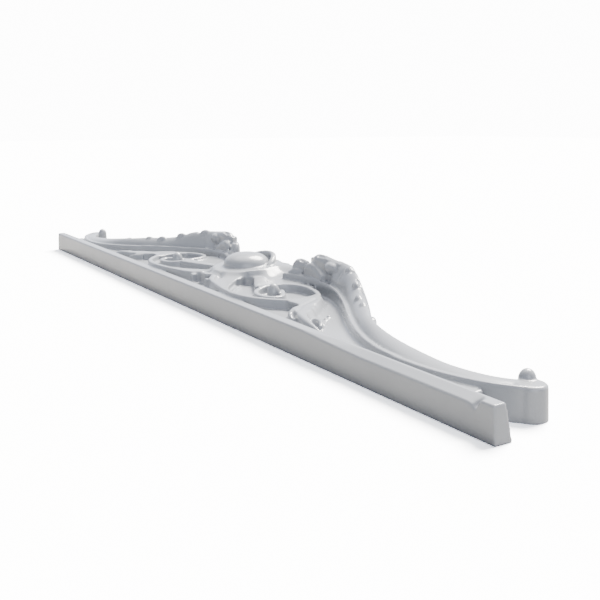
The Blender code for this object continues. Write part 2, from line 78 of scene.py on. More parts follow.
def curve_through(points: Sequence[Sequence[float]], steps: int) -> list[Vector]:
    """Return a smooth run of points through the given ones.

    Args:
        points: Points of two or three numbers each.
        steps: Number of stretches in the result.

    Returns:
        The points of a Catmull-Rom curve, steps + 1 of them, always with three numbers.
    """
    knots = [Vector((*point, 0.0)[:3]) for point in points]
    padded = [knots[0] * 2 - knots[1], *knots, knots[-1] * 2 - knots[-2]]
    spans = len(knots) - 1
    result = []
    for step in range(steps + 1):
        place = step * spans / steps
        span = min(int(place), spans - 1)
        t = place - span
        a, b, c, d = padded[span:span + 4]
        result.append(0.5 * (2 * b + (c - a) * t + (2 * a - 5 * b + 4 * c - d) * t ** 2
                             + (3 * b - a - 3 * c + d) * t ** 3))
    return result


def heading(path: Sequence[Vector], index: int) -> Vector:
    """Return the direction of a path in plan at one of its points.

    Args:
        path: Points along the path.
        index: Which of them.

    Returns:
        A level vector of length one.
    """
    before = path[max(index - 1, 0)]
    after = path[min(index + 1, len(path) - 1)]
    ahead = Vector((after.x - before.x, after.y - before.y, 0.0))
    return ahead.normalized()


def to_left(ahead: Vector) -> Vector:
    """Return the plan direction a quarter turn to the left of a heading."""
    return Vector((-ahead.y, ahead.x, 0.0))


def smooth_step(value: float) -> float:
    """Return 0 below 0, 1 above 1 and an eased value between."""
    share = min(1.0, max(0.0, value))
    return share * share * (3 - 2 * share)


@dataclass
class Workshop:
    """Collects every form of the casting as small closed meshes, in the design's millimetres."""

    forms: list[bpy.types.Mesh] = field(default_factory=list)
    # Eased top edge of a slab: share of its draw-in, further inset, and depth below the top
    slab_edge: tuple[Spot, ...] = ((0.7, 0.0, 0.5), (1.0, 0.0, 0.1), (1.0, 0.6, 0.0))
    egg_facets: tuple[int, int] = (28, 18)
    turned_facets: int = 72
    lobe_steps: int = 24
    lobe_facets: int = 12
    lobe_flare: float = 0.3
    lobe_thinnest: float = 0.3
    lobe_steepest: float = 1.2
    flute_waves: float = 1.5

    def keep(self, bm: bmesh.types.BMesh, both: bool) -> None:
        """Store a form as a mesh.

        Args:
            bm: The form. It is freed.
            both: Also store its mirror image across X = 0.
        """
        for side in (Side.RIGHT, Side.LEFT) if both else (Side.RIGHT,):
            bmesh.ops.scale(bm, verts=bm.verts, vec=(side.value, 1.0, 1.0))
            bmesh.ops.recalc_face_normals(bm, faces=bm.faces)
            mesh = bpy.data.meshes.new("form")
            bm.to_mesh(mesh)
            self.forms.append(mesh)
        bm.free()

    def loft(self, sections: Sequence[Sequence[Sequence[float]]], both: bool = True) -> None:
        """Extrude a first section through all the others and close both ends.

        Args:
            sections: Closed sections with the same number of points.
            both: Also make the mirror image.
        """
        bm = bmesh.new()
        first = [bm.verts.new(point) for point in sections[0]]
        face = bm.faces.new(first)
        for section in sections[1:]:
            face = bmesh.ops.extrude_discrete_faces(bm, faces=[face])["faces"][0]
            for vert, point in zip(face.verts, section):
                vert.co = point
        bm.faces.new(list(reversed(first)))
        self.keep(bm, both)

    def slab(self, outline: Iterable[Plan], low: float, high: float, draw_in: float = 0.0,
             both: bool = True) -> None:
        """Raise a plan outline into a slab whose top is drawn in, with an eased top edge.

        Args:
            outline: Corners in plan.
            low: Height of the foot.
            high: Height of the top.
            draw_in: How far the top edge comes in from the foot.
            both: Also make the mirror image.
        """
        corners = [Vector((x, y, 0.0)) for x, y in outline]
        middle = sum(corners, Vector()) / len(corners)
        levels = [(0.0, low)]
        for lean, inset, down in self.slab_edge:
            levels.append((draw_in * lean + inset, high - down))
        rings = []
        for inward, height in levels:
            rings.append([corner + (middle - corner).normalized() * inward
                          + Vector((0, 0, height)) for corner in corners])
        self.loft(rings, both)

    def egg(self, centre: Spot, half_sizes: Spot, turn: float = 0.0, both: bool = True) -> None:
        """Add a smooth egg-shaped lump.

        Args:
            centre: Its middle.
            half_sizes: Half its length, width and height.
            turn: Degrees it is turned about Z.
            both: Also make the mirror image.
        """
        bm = bmesh.new()
        round_it, from_pole = self.egg_facets
        bmesh.ops.create_uvsphere(bm, u_segments=round_it, v_segments=from_pole, radius=1.0)
        bmesh.ops.scale(bm, verts=bm.verts, vec=half_sizes)
        spin = Matrix.Rotation(math.radians(turn), 3, "Z")
        bmesh.ops.rotate(bm, verts=bm.verts, matrix=spin)
        bmesh.ops.translate(bm, verts=bm.verts, vec=centre)
        self.keep(bm, both)

    def turned(self, centre: Plan, profile: Sequence[Plan], both: bool = True) -> None:
        """Turn a profile of radius and height pairs about an upright axis.

        Args:
            centre: The axis in plan.
            profile: Radius and height pairs that start and end on the axis.
            both: Also make the mirror image.
        """
        bm = bmesh.new()
        axis = Vector((*centre, 0.0))
        verts = [bm.verts.new(axis + Vector((r, 0.0, z))) for r, z in profile]
        edges = [bm.edges.new(pair) for pair in zip(verts, verts[1:])]
        bmesh.ops.spin(bm, geom=verts + edges, cent=axis, axis=(0, 0, 1), angle=math.tau,
                       steps=self.turned_facets, use_merge=True)
        self.keep(bm, both)

    def lobe(self, rows: Sequence[Row], foot: float, bulge: float = 2.6, ribs: float = 0.0,
             both: bool = True) -> None:
        """Loft one curled leaf lobe: a rounded back that follows a line in plan.

        Args:
            rows: X, Y, top height and half width along the lobe.
            foot: Height of its foot.
            bulge: How far the sides fall from the top before they drop straight down.
            ribs: Depth of the two flutes along its back.
            both: Also make the mirror image.
        """
        line = curve_through([row[:3] for row in rows], self.lobe_steps)
        widths = curve_through([(row[3], 0.0) for row in rows], self.lobe_steps)
        sections = []
        for index, (point, width) in enumerate(zip(line, widths)):
            side = to_left(heading(line, index))
            half = max(width.x, self.lobe_thinnest)
            drop = min(bulge, half * self.lobe_steepest)
            section = [(-half - self.lobe_flare, foot)]
            for facet in range(self.lobe_facets + 1):
                across = 2 * facet / self.lobe_facets - 1
                lift = math.sqrt(max(0.0, 1 - across * across))
                flute = ribs * math.sin(math.pi * across * self.flute_waves) ** 2
                section.append((half * across, point.z - drop * (1 - lift) - flute))
            section.append((half + self.lobe_flare, foot))
            base = Vector((point.x, point.y, 0.0))
            sections.append([base + side * d + Vector((0, 0, z)) for d, z in section])
        self.loft(sections, both)

    def joined(self) -> bmesh.types.BMesh:
        """Return all the forms in one bmesh."""
        bm = bmesh.new()
        for mesh in self.forms:
            bm.from_mesh(mesh)
            bpy.data.meshes.remove(mesh)
        return bm


@dataclass
class BaseStrip:
    """The straight strip along the front, with a drafted face and an eased, nicked edge."""

    length: float = 410.0
    depth: float = 6.7
    height: float = 11.3
    front_draft: float = 0.25
    back_draft: float = 1.7
    end_draft: float = 1.4
    edge_round: float = 0.55
    round_steps: int = 4
    narrowest_top: float = 0.4
    # X, how far the front edge drops there, and where the flat top begins
    edge_stations: tuple[Spot, ...] = (
        (-205.0, 0.0, 2.5), (-140.0, 0.0, 2.5), (-60.0, 0.0, 2.5), (20.0, 0.0, 2.5),
        (108.0, 0.0, 2.5), (126.0, 0.9, 3.6), (143.0, 1.5, 3.9), (192.6, 1.5, 3.9),
        (195.2, 1.9, 3.9), (196.6, 3.4, 3.9), (197.6, 1.5, 3.2), (198.6, 0.0, 2.5),
        (205.0, 0.0, 2.5),
    )

    def section(self, x: float, drop: float, reach: float) -> list[Spot]:
        """Return the strip's section at one station.

        Args:
            x: Where the station stands.
            drop: How far the front edge lies below the top.
            reach: Where the flat top begins.

        Returns:
            The section's corners, leaning inwards at the two ends of the strip.
        """
        top = self.height
        front_top = top - drop
        back_top = self.depth - self.back_draft
        r = self.edge_round
        points = [(0.0, 0.0), (self.depth, 0.0)]
        for step in range(self.round_steps + 1):
            angle = math.radians(90.0 * step / self.round_steps)
            points.append((back_top - r + r * math.cos(angle), top - r + r * math.sin(angle)))
        points.append((max(reach, self.front_draft + r + self.narrowest_top), top))
        for step in range(self.round_steps + 1):
            angle = math.radians(90.0 * (1 + step / self.round_steps))
            points.append((self.front_draft + r + r * math.cos(angle),
                           front_top - r + r * math.sin(angle)))
        at_end = abs(x) >= self.length / 2
        lean = math.copysign(self.end_draft, x) if at_end else 0.0
        return [(x - lean * z / top, y, z) for y, z in points]

    def build(self, shop: Workshop) -> None:
        """Loft the strip through its stations."""
        shop.loft([self.section(*row) for row in self.edge_stations], both=False)


@dataclass
class Field:
    """The low ground between the strip and the necks."""

    height: float = 9.0
    outline: tuple[Plan, ...] = (
        (188.0, 2.0), (188.0, 12.0), (160.0, 12.0), (138.0, 13.0), (108.0, 25.0),
        (84.0, 40.0), (62.0, 49.0), (30.0, 51.0), (12.0, 53.0),
    )

    def build(self, shop: Workshop) -> None:
        """Raise the ground as one slab across both halves."""
        left = [(-x, y) for x, y in reversed(self.outline)]
        shop.slab([*self.outline, *left], BELOW, self.height, both=False)


@dataclass
class SwanNeck:
    """The long S-shaped band with a raised rim on its inner side."""

    # Inner rim and outer edge, from the lower volute up to the head
    rows: tuple[tuple[Spot, Spot], ...] = (
        ((197.6, 21.6, 10.9), (190.9, 27.4, 10.9)),
        ((193.0, 17.6, 10.9), (188.6, 23.6, 10.9)),
        ((184.0, 12.4, 11.0), (181.5, 19.7, 11.0)),
        ((170.0, 8.6, 11.0), (169.2, 16.4, 11.6)),
        ((154.0, 7.4, 11.2), (154.6, 16.0, 12.7)),
        ((138.0, 9.0, 11.7), (139.7, 17.0, 14.1)),
        ((122.0, 14.2, 12.4), (124.8, 20.6, 15.8)),
        ((105.0, 22.6, 13.2), (109.2, 30.0, 17.5)),
        ((90.0, 31.2, 13.9), (94.4, 38.9, 18.9)),
        ((76.0, 38.5, 14.4), (79.8, 46.0, 22.9)),
        ((66.0, 42.4, 14.8), (68.8, 51.0, 24.2)),
        ((57.6, 44.5, 15.0), (58.8, 52.6, 24.9)),
    )
    steps: int = 150
    # Distance across the band and height over the rim's own
    rim_profile: tuple[Plan, ...] = (
        (-0.05, -0.5), (0.15, -0.12), (0.5, 0.0), (1.0, 0.0), (1.4, -0.2),
    )
    rim_groove: float = 0.6
    band_start: float = 2.0
    band_steps: int = 11
    crown: float = 0.8
    steepness: float = 2.2
    steepness_lost: float = 0.5
    steepness_onset: int = 4
    edge_round: float = 0.9
    edge_ease: Plan = (0.7, 0.3)
    wall_draft: float = 0.9
    volute_centre: Plan = (194.4, 24.6)
    volute_radius: float = 4.9
    volute_top: float = 10.9
    volute_edge: tuple[Plan, ...] = ((0.9, 0.0), (0.25, 0.3), (0.0, 1.0))
    volute_draft: float = 0.7
    bead: Plan = (190.6, 27.0)
    bead_radius: float = 2.7
    bead_half_height: float = 3.4
    bead_top: float = 13.9
    bead_post: Plan = (2.6, 3.2)
    bead_post_top: float = 10.6

    def section(self, rim: Vector, edge: Vector, steep: float) -> list[Vector]:
        """Return the band's section from its rim to its outer edge.

        Args:
            rim: Top of the inner rim.
            edge: Top of the outer edge.
            steep: How steeply the band leaves the rim.

        Returns:
            The section's corners.
        """
        across = Vector((edge.x - rim.x, edge.y - rim.y, 0.0))
        width = across.length
        along = across.normalized()
        rise = edge.z - rim.z + self.rim_groove
        crest = width - self.edge_round

        def at(distance: float, height: float) -> Vector:
            """Return a point at a distance from the rim and a height."""
            return Vector((rim.x, rim.y, 0.0)) + along * distance + Vector((0, 0, height))

        points = [at(-self.wall_draft, BELOW)]
        for distance, height in self.rim_profile:
            points.append(at(distance, rim.z + height))
        for step in range(self.band_steps):
            share = step / self.band_steps
            lift = (1 - (1 - share) ** steep) ** self.crown
            points.append(at(self.band_start + (crest - self.band_start) * share,
                             rim.z - self.rim_groove + rise * lift))
        points.append(at(crest, edge.z))
        out, down = self.edge_ease
        points.append(at(crest + self.edge_round * out, edge.z - self.edge_round * down))
        points.append(at(width, edge.z - self.edge_round))
        points.append(at(width + self.wall_draft, BELOW))
        return points

    def build(self, shop: Workshop) -> None:
        """Loft the band, then add the round lower end and its bead.

        Args:
            shop: Takes the forms.
        """
        rims = curve_through([row[0] for row in self.rows], self.steps)
        edges = curve_through([row[1] for row in self.rows], self.steps)
        sections = []
        for index, (rim, edge) in enumerate(zip(rims, edges)):
            lost = self.steepness_lost * (index / self.steps) ** self.steepness_onset
            sections.append(self.section(rim, edge, self.steepness - lost))
        shop.loft(sections)
        r, top = self.volute_radius, self.volute_top
        rounded = [(r - inward, top - down) for inward, down in self.volute_edge]
        shop.turned(self.volute_centre,
                    [(0.0, top), *rounded, (r + self.volute_draft, BELOW),
                     (0.0, BELOW)])
        shop.egg((*self.bead, self.bead_top - self.bead_half_height),
                 (self.bead_radius, self.bead_radius, self.bead_half_height))
        narrow, wide = self.bead_post
        shop.turned(self.bead, ((0.0, self.bead_post_top), (narrow, self.bead_post_top),
                                (wide, BELOW), (0.0, BELOW)))


@dataclass
class LeafHead:
    """The curled acanthus head at the top of the neck, on a hollow tongue with raised rims."""

    tongue_rows: tuple[tuple[Spot, Spot], ...] = (
        ((62.0, 43.6, 15.0), (62.0, 50.4, 16.4)),
        ((53.0, 44.8, 15.0), (53.0, 49.6, 16.4)),
        ((44.0, 44.8, 15.2), (43.0, 47.8, 16.2)),
        ((35.0, 43.1, 15.4), (33.8, 45.6, 15.9)),
        ((26.6, 40.9, 15.5), (26.0, 42.0, 15.5)),
    )
    tongue_steps: int = 40
    hollow: float = 1.1
    hollow_steps: int = 8
    hollow_slope: float = 0.25
    deepest_share: float = 0.25
    rim_share: float = 0.14
    lip_overhang: float = 0.05
    lip_side: float = 0.5
    lip_round: float = 0.25
    outer_lip_side: float = 0.6
    outer_lip_round: float = 0.2
    wall_draft: float = 0.9
    core: tuple[Plan, ...] = ((37.0, 49.6), (50.0, 49.4), (62.0, 48.8), (63.0, 52.8), (38.4, 53.4))
    core_top: float = 24.0
    core_draw_in: float = 0.9
    lobes: tuple[tuple[Row, ...], ...] = (
        ((39.0, 50.5, 23.4, 1.3), (42.4, 50.4, 25.8, 2.3), (47.0, 50.4, 26.2, 2.8),
         (52.4, 50.6, 25.6, 2.5), (60.0, 50.8, 24.8, 2.0), (66.0, 50.8, 24.2, 1.2)),
        ((36.6, 47.4, 19.6, 1.4), (38.4, 47.8, 21.4, 2.2), (41.4, 48.2, 22.3, 2.5),
         (45.4, 48.4, 21.6, 2.5), (49.0, 47.9, 20.0, 2.3), (52.0, 46.9, 18.0, 1.5)),
        ((35.4, 49.8, 21.8, 1.8), (32.2, 48.4, 22.6, 2.3), (29.4, 47.2, 22.0, 2.1),
         (27.8, 46.4, 20.0, 1.3)),
        ((35.0, 47.4, 17.2, 1.6), (32.4, 46.8, 18.5, 2.4), (29.6, 45.7, 18.4, 2.6),
         (27.6, 44.3, 17.0, 1.9), (26.8, 43.3, 15.8, 0.9)),
    )
    flute: float = 0.25
    hanging_curl: Spot = (56.2, 48.6, 21.4)
    hanging_curl_half: Spot = (4.4, 2.5, 2.7)
    # The left head lies further out than a mirror image would, and its tongue opens wider
    left_away: float = 2.8
    left_open: float = 2.6
    tip: float = 26.0
    opening_length: float = 14.0
    foot: float = 6.0

    def tongue_section(self, rim: Vector, edge: Vector) -> list[Vector]:
        """Return the tongue's section, with a hollow between its two raised rims.

        Args:
            rim: Top of the inner rim.
            edge: Top of the outer rim.

        Returns:
            The section's corners.
        """
        out = Vector((edge.x - rim.x, edge.y - rim.y, 0.0))
        dip = min(self.hollow, out.length * self.deepest_share)
        side = out.normalized()
        section = [Vector((rim.x, rim.y, BELOW)) - side * self.wall_draft,
                   rim - side * self.lip_overhang - Vector((0, 0, self.lip_side)),
                   rim + side * self.lip_round]
        for step in range(self.hollow_steps + 1):
            share = step / self.hollow_steps
            place = rim.lerp(edge, self.rim_share + (1 - 2 * self.rim_share) * share)
            place.z -= dip * smooth_step(min(share, 1 - share) / self.hollow_slope)
            section.append(place)
        section += [edge - side * self.outer_lip_round,
                    edge - Vector((0, 0, self.outer_lip_side)),
                    Vector((edge.x, edge.y, BELOW)) + side * self.wall_draft]
        return section

    def build(self, shop: Workshop) -> None:
        """Make each head: its tongue, the wall behind, the lobes on top and the hanging curl.

        Args:
            shop: Takes the forms.
        """
        for side in Side:
            away, open_by = (self.left_away, self.left_open) if side is Side.LEFT else (0.0, 0.0)
            rims, edges = [], []
            for rim, edge in self.tongue_rows:
                lift = open_by * smooth_step((edge[0] - self.tip) / self.opening_length)
                rims.append((side.value * (rim[0] + away), rim[1], rim[2]))
                edges.append((side.value * (edge[0] + away), edge[1], edge[2] + lift))
            sections = []
            for rim, edge in zip(curve_through(rims, self.tongue_steps),
                                 curve_through(edges, self.tongue_steps)):
                sections.append(self.tongue_section(rim, edge))
            shop.loft(sections, both=False)
            wall = [(side.value * (x + away), y) for x, y in self.core]
            shop.slab(wall if side is Side.RIGHT else wall[::-1], BELOW, self.core_top,
                      self.core_draw_in, both=False)
            for rows in self.lobes:
                placed = [(side.value * (x + away), y, top, half) for x, y, top, half in rows]
                shop.lobe(placed, self.foot, ribs=self.flute, both=False)
            x, y, z = self.hanging_curl
            shop.egg((side.value * (x + away), y, z), self.hanging_curl_half, both=False)


@dataclass
class Boss:
    """The domed middle on its coved collar, with a hood round its back."""

    y: float = 36.2
    radius: float = 11.3
    base: float = 16.4
    top: float = 22.3
    tilt: float = 0.08
    dome_steps: int = 18
    dome_foot: float = 6.0
    # Where the flat seat starts, under the dome, and where the cove starts to fall
    seat_radii: Plan = (10.9, 16.6)
    collar_rings: int = 14
    collar_facets: int = 144
    collar_foot: float = 5.0
    narrowest_cove: float = 1.0
    cove_curve: float = 2.0
    angle_slack: float = 0.001
    # Direction in degrees, with the back at 90, and the reach and outer height there
    collar_reach: tuple[Spot, ...] = (
        (-90.0, 21.0, 12.6), (-60.0, 22.0, 12.6), (-42.0, 21.4, 12.7), (-30.0, 17.2, 13.2),
        (-14.0, 19.2, 12.8), (8.0, 25.6, 12.6), (22.0, 26.4, 13.6), (36.0, 27.2, 16.7),
        (48.0, 21.9, 17.1), (66.0, 17.9, 16.9), (90.0, 16.6, 16.9),
    )
    shoulder: float = 0.78
    hood_inner: float = 12.0
    hood_outer: float = 14.6
    hood_top: float = 21.9
    hood_half_angle: float = 72.0
    hood_steps: int = 48
    hood_facets: int = 6
    hood_rise: float = 0.6
    hood_sunk: float = 1.0
    hood_foot: float = 8.0
    hood_roundness: float = 0.7
    hood_flare: float = 0.3

    def collar_row(self, direction: float) -> tuple[float, float]:
        """Return the collar's reach and outer height in one direction.

        Args:
            direction: Degrees from X. The left half folds onto the right one.

        Returns:
            The radius of the cove's foot and its height.
        """
        folded = math.degrees(math.asin(math.sin(math.radians(direction))))
        pairs = zip(self.collar_reach, self.collar_reach[1:])
        for (a, reach_a, top_a), (b, reach_b, top_b) in pairs:
            if folded <= b + self.angle_slack:
                share = smooth_step((folded - a) / (b - a))
                return reach_a + (reach_b - reach_a) * share, top_a + (top_b - top_a) * share
        return self.collar_reach[-1][1:]

    def collar(self, shop: Workshop) -> None:
        """Make the flat seat of the dome and the cove that falls away from it.

        Args:
            shop: Takes the forms.
        """
        rings = []
        inner, cove_start = self.seat_radii
        for share in [step / self.collar_rings for step in range(self.collar_rings + 1)]:
            ring = []
            for facet in range(self.collar_facets):
                angle = math.tau * facet / self.collar_facets
                reach, top = self.collar_row(math.degrees(angle))
                seat = min(cove_start, reach - self.narrowest_cove)
                r = inner + (reach - inner) * share
                level = self.base + self.tilt * r * math.sin(angle)
                fall = max(0.0, (r - seat) / (reach - seat))
                height = top + (level - top) * (1 - fall) ** self.cove_curve if fall else level
                ring.append((r * math.cos(angle), self.y + r * math.sin(angle), height))
            rings.append(ring)
        rings.append([(x, y, self.collar_foot) for x, y, _ in rings[-1]])
        shop.loft(rings, both=False)

    def hood(self, shop: Workshop) -> None:
        """Make the curved hood that stands round the back of the dome.

        Args:
            shop: Takes the forms.
        """
        low = self.base - self.hood_sunk
        middle = (self.hood_inner + self.hood_outer) / 2
        half = (self.hood_outer - self.hood_inner) / 2
        crown = half * self.hood_roundness
        sections = []
        for step in range(self.hood_steps + 1):
            share = 2 * step / self.hood_steps - 1
            angle = math.radians(90.0 + self.hood_half_angle * share)
            lift = max(0.0, 1 - share * share) ** self.hood_rise
            top = low + (self.hood_top - low) * lift
            section = [(self.hood_inner, self.hood_foot)]
            for facet in range(self.hood_facets + 1):
                bend = math.radians(180 - 180 * facet / self.hood_facets)
                section.append((middle + half * math.cos(bend),
                                top - crown + crown * math.sin(bend)))
            section.append((self.hood_outer + self.hood_flare, self.hood_foot))
            sections.append([(r * math.cos(angle), self.y + r * math.sin(angle), z)
                             for r, z in section])
        shop.loft(sections, both=False)

    def build(self, shop: Workshop) -> None:
        """Make the collar, the dome and the hood.

        Args:
            shop: Takes the forms.
        """
        self.collar(shop)
        rise = self.top - self.base
        arc = []
        for step in range(self.dome_steps + 1):
            angle = math.radians(90.0 * (1 - step / self.dome_steps))
            arc.append((self.radius * math.cos(angle) ** self.shoulder,
                        self.base + rise * math.sin(angle)))
        arc[0] = (0.0, arc[0][1])
        shop.turned((0.0, self.y), [*arc, (self.radius, self.dome_foot), (0.0, self.dome_foot)],
                    both=False)
        self.hood(shop)


@dataclass
class CScroll:
    """The open scroll by the strip: a spiral wall, a sunk dish, an eye bead and a ribbon."""

    path: tuple[Spot, ...] = (
        (5.6, 16.4, 13.6), (9.0, 12.4, 13.6), (15.0, 10.2, 13.5), (24.5, 8.2, 13.4),
        (35.5, 6.4, 13.3), (46.5, 5.8, 13.3), (56.5, 8.2, 13.3), (64.5, 13.4, 13.3),
        (70.2, 20.2, 13.3), (71.8, 27.4, 13.3), (68.4, 33.6, 13.4), (61.4, 36.8, 13.7),
        (53.6, 37.4, 14.1), (47.0, 35.4, 14.3), (43.2, 31.0, 14.3), (42.0, 25.4, 14.2),
        (42.8, 19.8, 13.6), (46.0, 15.9, 13.1), (51.0, 14.3, 12.9), (56.2, 14.6, 12.9),
        (59.4, 17.4, 12.9), (58.8, 21.4, 12.9), (54.6, 24.6, 12.9), (48.4, 27.4, 12.9),
    )
    shelf: tuple[Plan, ...] = (
        (5.0, 17.0), (9.0, 13.2), (15.0, 10.6), (24.5, 8.6), (35.2, 7.0), (35.2, 8.1),
        (29.4, 11.0), (24.5, 14.5), (20.0, 18.2), (16.1, 21.8), (8.0, 24.0),
    )
    shelf_top: float = 12.6
    # Low filled ground between the cove, the tongue and the scroll
    bridge: tuple[Plan, ...] = (
        (20.0, 33.6), (28.0, 30.4), (42.6, 26.0), (43.6, 31.4), (47.4, 35.8), (53.0, 38.0),
        (50.0, 44.0), (36.0, 43.0), (27.0, 41.0), (18.0, 41.0),
    )
    bridge_top: float = 12.7
    ripple: tuple[Row, ...] = (
        (34.4, 10.4, 11.2, 0.9), (28.8, 14.9, 11.5, 1.2), (25.4, 18.7, 11.2, 0.9),
    )
    steps: int = 200
    foot: float = 5.0
    wall: float = 1.1
    wall_foot: float = 3.0
    # Share of the wall's half width, and depth below its top
    wall_profile: tuple[Plan, ...] = ((1.0, 0.6), (0.8, 0.15), (0.4, 0.0))
    draft: float = 1.0
    floor: float = 10.4
    floor_share: float = 0.64
    eye: Plan = (51.4, 21.6)
    eye_radius: float = 2.9
    eye_top: float = 16.7
    eye_half_height: float = 4.6
    ripple_foot: float = 8.0
    ripple_bulge: float = 1.2
    ribbon_bulge: float = 0.5
    ribbon: tuple[Row, ...] = (
        (17.0, 34.2, 13.3, 2.8), (26.0, 29.4, 13.6, 3.1), (35.0, 24.8, 13.9, 3.4),
        (42.0, 21.6, 14.1, 3.4),
    )

    def build(self, shop: Workshop) -> None:
        """Make the wall, the dish, the bead, the ribbon, the shelf, the bridge and the ripple.

        Args:
            shop: Takes the forms.
        """
        path = curve_through(self.path, self.steps)
        sections = []
        for index, point in enumerate(path):
            side = to_left(heading(path, index))
            base = Vector((point.x, point.y, 0.0))
            half = [(self.wall + self.draft, self.wall_foot)]
            for share, down in self.wall_profile:
                half.append((self.wall * share, point.z - down))
            rows = [(-d, z) for d, z in half] + half[::-1]
            sections.append([base + side * d + Vector((0, 0, z)) for d, z in rows])
        shop.loft(sections)
        outer = path[:int(len(path) * self.floor_share)]
        shop.slab([(p.x, p.y) for p in outer], self.wall_foot, self.floor)
        shop.egg((*self.eye, self.eye_top - self.eye_half_height),
                 (self.eye_radius, self.eye_radius, self.eye_half_height))
        shop.lobe(self.ribbon, self.foot, bulge=self.ribbon_bulge)
        shop.slab(self.shelf, self.foot, self.shelf_top)
        shop.slab(self.bridge, self.foot, self.bridge_top)
        shop.lobe(self.ripple, self.ripple_foot, bulge=self.ripple_bulge)


@dataclass
class Knot:
    """The small knot by the strip where the two C-scrolls meet."""

    middle: tuple[Plan, ...] = ((-2.8, 12.0), (2.8, 12.0), (4.2, 15.4), (-4.2, 15.4))
    middle_top: float = 14.3
    middle_draw_in: float = 0.5
    shoulder: tuple[Row, ...] = (
        (4.6, 16.6, 13.4, 1.0), (6.6, 15.0, 14.2, 1.9), (9.4, 12.8, 13.9, 1.7),
        (14.0, 10.6, 13.5, 1.1),
    )
    shoulder_bulge: float = 1.6
    post: tuple[Plan, ...] = ((6.4, 9.4), (9.6, 9.8), (9.4, 13.4), (6.2, 13.4))
    post_top: float = 12.8
    post_draw_in: float = 0.4
    foot: float = 5.0

    def build(self, shop: Workshop) -> None:
        """Make the middle block, and a post and a rounded shoulder on each side.

        Args:
            shop: Takes the forms.
        """
        shop.slab(self.middle, self.foot, self.middle_top, self.middle_draw_in, both=False)
        shop.slab(self.post, self.foot, self.post_top, self.post_draw_in)
        shop.lobe(self.shoulder, self.foot, bulge=self.shoulder_bulge)


@dataclass
class LeafTuft:
    """The fan beside the C-scroll, its leaves and the curls on the neck's outer side."""

    # Inner end, outer end, and the share of the way that stays level, for each ray of the fan
    fan_rows: tuple[tuple[Spot, Spot, float], ...] = (
        ((66.0, 33.6, 13.2), (76.0, 34.4, 8.6), 0.45),
        ((68.0, 29.0, 13.2), (81.0, 30.2, 8.6), 0.62),
        ((68.0, 23.0, 13.1), (88.0, 26.0, 8.6), 0.62),
        ((67.0, 17.4, 12.9), (93.0, 21.8, 8.6), 0.68),
        ((77.4, 18.2, 12.8), (96.6, 18.0, 8.6), 0.52),
        ((81.4, 13.0, 12.8), (100.0, 14.0, 8.6), 0.5),
        ((87.4, 10.8, 12.6), (102.6, 11.4, 8.6), 0.5),
        ((94.0, 9.2, 12.4), (105.0, 9.8, 8.6), 0.5),
    )
    fan_steps: int = 28
    fan_facets: int = 10
    fan_sag: float = 0.9
    foot: float = 4.0
    lobes: tuple[tuple[Row, ...], ...] = (
        ((81.0, 14.0, 12.6, 1.6), (83.6, 11.6, 12.4, 2.0), (87.0, 9.6, 11.8, 1.8),
         (89.6, 8.8, 10.6, 1.0)),
        ((86.6, 12.0, 12.3, 1.0), (90.6, 10.6, 12.6, 1.4), (95.0, 9.4, 12.6, 1.5),
         (100.2, 8.0, 12.3, 1.4), (105.6, 7.5, 11.2, 1.0), (109.6, 7.7, 9.8, 0.5)),
        ((95.6, 12.2, 10.6, 0.7), (97.6, 12.8, 11.8, 0.9), (100.2, 13.2, 11.9, 1.0),
         (103.0, 12.2, 11.6, 0.9), (105.2, 10.4, 10.8, 0.7)),
    )
    lobe_bulge: float = 2.2
    # X, Y, radius and top height
    curls: tuple[Row, ...] = (
        (122.6, 21.4, 2.2, 16.3), (107.6, 28.4, 2.4, 18.2), (98.6, 32.8, 2.4, 19.0),
        (86.6, 40.4, 2.6, 21.8), (71.0, 48.2, 2.6, 24.8),
    )
    # Length and width of a curl for each millimetre of its radius
    curl_shape: Plan = (1.5, 0.7)
    curl_half_height: float = 2.6
    turn: float = -32.0
    teeth: tuple[Spot, ...] = (
        (71.6, 35.2, 10.6), (79.8, 28.6, 10.6), (90.4, 24.0, 10.2), (93.4, 20.6, 10.2),
        (98.8, 15.6, 10.2),
    )
    tooth_half: Spot = (1.3, 0.9, 2.0)

    def fan(self, shop: Workshop) -> None:
        """Make the sloping fan from the C-scroll's rim down to the ground.

        Args:
            shop: Takes the forms.
        """
        inner = curve_through([row[0] for row in self.fan_rows], self.fan_steps)
        outer = curve_through([row[1] for row in self.fan_rows], self.fan_steps)
        holds = curve_through([(row[2], 0.0) for row in self.fan_rows], self.fan_steps)
        sections = []
        for near, far, hold in zip(inner, outer, holds):
            section = [Vector((near.x, near.y, self.foot))]
            for facet in range(self.fan_facets + 1):
                share = facet / self.fan_facets
                point = near.lerp(far, share)
                fall = max(0.0, (share - hold.x) / (1 - hold.x))
                sag = self.fan_sag * math.sin(math.pi * fall)
                point.z = near.z + (far.z - near.z) * fall - sag
                section.append(point)
            section.append(Vector((far.x, far.y, self.foot)))
            sections.append(section)
        shop.loft(sections)

    def build(self, shop: Workshop) -> None:
        """Make the fan, the leaf lobes, the teeth and the curls.

        Args:
            shop: Takes the forms.
        """
        self.fan(shop)
        for rows in self.lobes:
            shop.lobe(rows, self.foot, bulge=self.lobe_bulge)
        for x, y, top in self.teeth:
            shop.egg((x, y, top - self.tooth_half[2]), self.tooth_half, self.turn)
        length, width = self.curl_shape
        for x, y, radius, top in self.curls:
            shop.egg((x, y, top - self.curl_half_height),
                     (radius * length, radius * width, self.curl_half_height), self.turn)


@dataclass(frozen=True)
class Stroke:
    """One run of the carver's gouge, in plan. A negative depth raises a ridge instead."""

    line: tuple[Plan, ...]
    width: float
    depth: float


